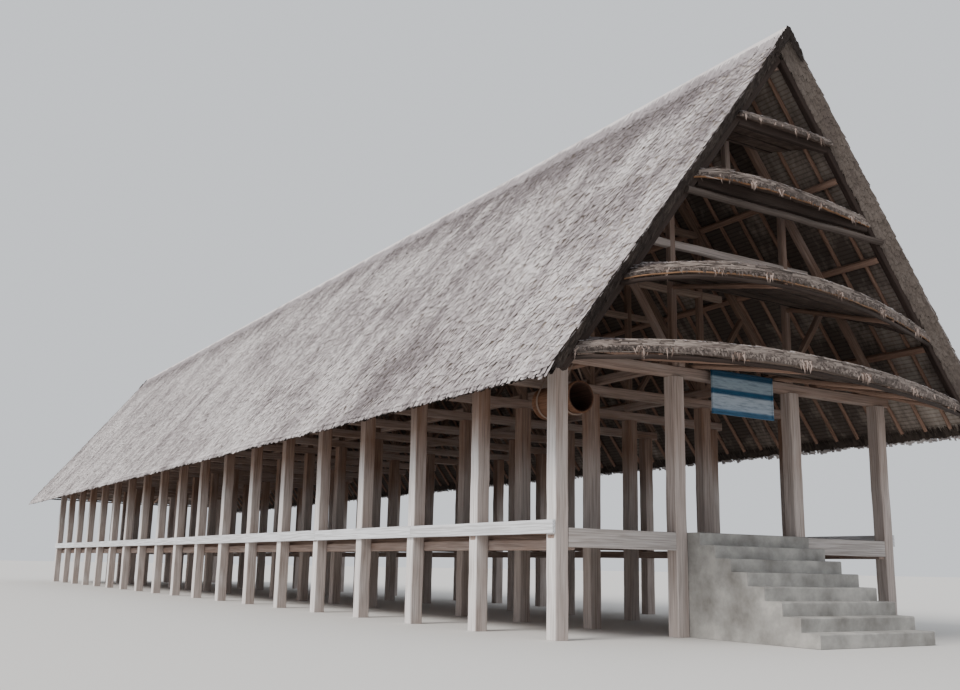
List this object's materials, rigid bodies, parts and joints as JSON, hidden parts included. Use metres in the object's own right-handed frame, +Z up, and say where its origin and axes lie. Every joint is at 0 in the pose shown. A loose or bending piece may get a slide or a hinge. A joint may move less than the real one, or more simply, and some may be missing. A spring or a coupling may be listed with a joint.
{
  "type": "open timber meeting house",
  "caption": "Long open-sided timber meeting house on posts, with a raised floor, a steep thatched roof and bowed thatch awnings across its gables.",
  "frame": {"origin": "on the ground at the middle of the house's plan", "axes": "+Z up, Y along the house with the gable that has the steps at -Y, +X to the right of someone facing that gable from outside"},
  "size_m": [8.728, 38.865, 8.8496],
  "materials": {
    "timber": "weathered bare timber",
    "pale_board": "sun-bleached planks",
    "thatch": "dry palm-leaf thatch",
    "concrete": "rough cement",
    "blue_board": "painted board"
  },
  "bodies": {
    "root": {"back_awning_1": "thatch", "back_awning_2": "thatch", "back_awning_3": "thatch", "back_awning_4": "thatch", "back_floor_board": "pale_board", "back_verge_frame": "timber", "cross_frame_01": "timber", "cross_frame_02": "timber", "cross_frame_03": "timber", "cross_frame_04": "timber", "cross_frame_05": "timber", "cross_frame_06": "timber", "cross_frame_07": "timber", "cross_frame_08": "timber", "cross_frame_09": "timber", "cross_frame_10": "timber", "cross_frame_11": "timber", "cross_frame_12": "timber", "cross_frame_13": "timber", "cross_frame_14": "timber", "cross_frame_15": "timber", "cross_frame_16": "timber", "cross_frame_17": "timber", "cross_frame_18": "timber", "cross_frame_19": "timber", "drum_hanger": "timber", "floor_deck": "timber", "front_awning_1": "thatch", "front_awning_2": "thatch", "front_awning_3": "thatch", "front_awning_4": "thatch", "front_floor_board_left": "pale_board", "front_floor_board_right": "pale_board", "front_steps": "concrete", "front_verge_frame": "timber", "hanging_drum": "timber", "left_eave_purlin": "timber", "left_floor_girder": "timber", "left_high_purlin": "timber", "left_inner_plate": "timber", "left_low_purlin": "timber", "left_ridge_cap": "thatch", "left_side_board": "pale_board", "left_thatch": "thatch", "ridge_beam": "timber", "right_eave_purlin": "timber", "right_floor_girder": "timber", "right_high_purlin": "timber", "right_inner_plate": "timber", "right_low_purlin": "timber", "right_ridge_cap": "thatch", "right_side_board": "pale_board", "right_thatch": "thatch", "sign_board": "blue_board"}
  },
  "joints": []
}
